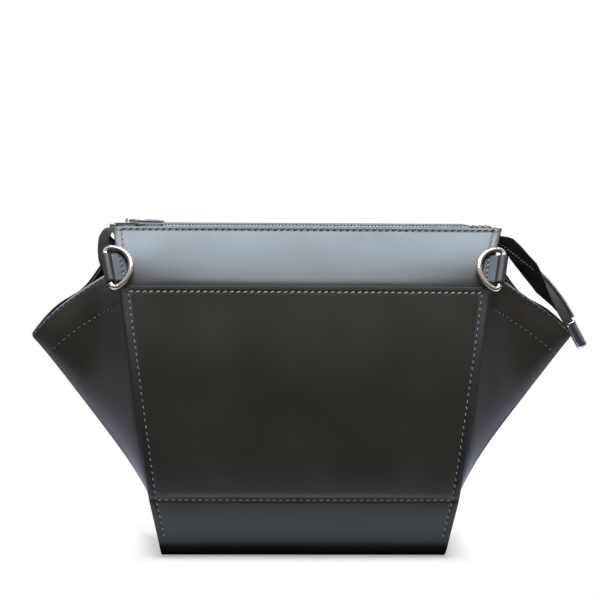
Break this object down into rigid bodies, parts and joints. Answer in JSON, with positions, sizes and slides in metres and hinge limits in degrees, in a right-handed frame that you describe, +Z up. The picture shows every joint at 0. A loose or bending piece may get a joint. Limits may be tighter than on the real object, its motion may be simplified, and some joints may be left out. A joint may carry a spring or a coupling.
{
  "type": "trapeze bag",
  "caption": "Small dark leather trapeze bag with folded side wings, a zip with slider and free tail along the top, a slip pocket behind and D-rings for a strap.",
  "frame": {"origin": "on the floor under the middle of the base", "axes": "+X towards the zip's open end and its tail, -Y towards the side with the slip pocket and the D-rings, +Z up"},
  "size_m": [0.3383, 0.1029, 0.201],
  "materials": {
    "body_leather": "smooth, semi-gloss, dark olive",
    "edge_leather": "smooth, semi-gloss, dark olive",
    "lining": "woven cotton, dark olive",
    "board": "pressed fibre board",
    "zip_tape": "woven polyester, herringbone",
    "zip_coil": "polyester monofilament",
    "metal": "polished pale nickel"
  },
  "bodies": {
    "bag": {"wrap_panel": "body_leather", "rear_panel": "body_leather", "gusset_left": "body_leather", "gusset_right": "body_leather", "rim_facing_left": "edge_leather", "rim_facing_right": "edge_leather", "lining_body": "lining", "lining_left": "lining", "lining_right": "lining", "base_board": "board", "zip_tape_rear": "zip_tape", "zip_tape_front": "zip_tape", "zip_coil_rear": "zip_coil", "zip_coil_front": "zip_coil", "zip_top_stops": "metal", "ring_tab_left": "edge_leather", "ring_tab_right": "edge_leather"},
    "slider": {"zip_slider": "metal"},
    "pull": {"zip_pull": "metal"},
    "tail": {"tail_tape_rear": "zip_tape", "tail_tape_front": "zip_tape", "tail_coil": "zip_coil", "tail_end_cap": "metal"},
    "ring_left": {"d_ring_left": "metal"},
    "ring_right": {"d_ring_right": "metal"}
  },
  "joints": [
    {"name": "slider_travel", "type": "slide", "parent": "bag", "child": "slider", "axis": [1, 0, 0], "range_m": [0, 0.185]},
    {"name": "pull_swing", "type": "hinge", "parent": "slider", "child": "pull", "pos_m": [-0.1059, 0, 0.1991], "axis": [0, -1, 0], "range_deg": [0, 174]},
    {"name": "ring_left_swing", "type": "hinge", "parent": "bag", "child": "ring_left", "pos_m": [-0.11789, -0.03009, 0.17263], "axis": [0.1726, -0.6215, -0.7642], "range_deg": [0, 162]},
    {"name": "ring_right_swing", "type": "hinge", "parent": "bag", "child": "ring_right", "pos_m": [0.11789, -0.03009, 0.17263], "axis": [0.1726, 0.6215, 0.7642], "range_deg": [0, 162]},
    {"name": "tail_lift", "type": "hinge", "parent": "bag", "child": "tail", "pos_m": [0.1043, 0, 0.1937], "axis": [0, -1, 0], "range_deg": [0, 40]}
  ]
}
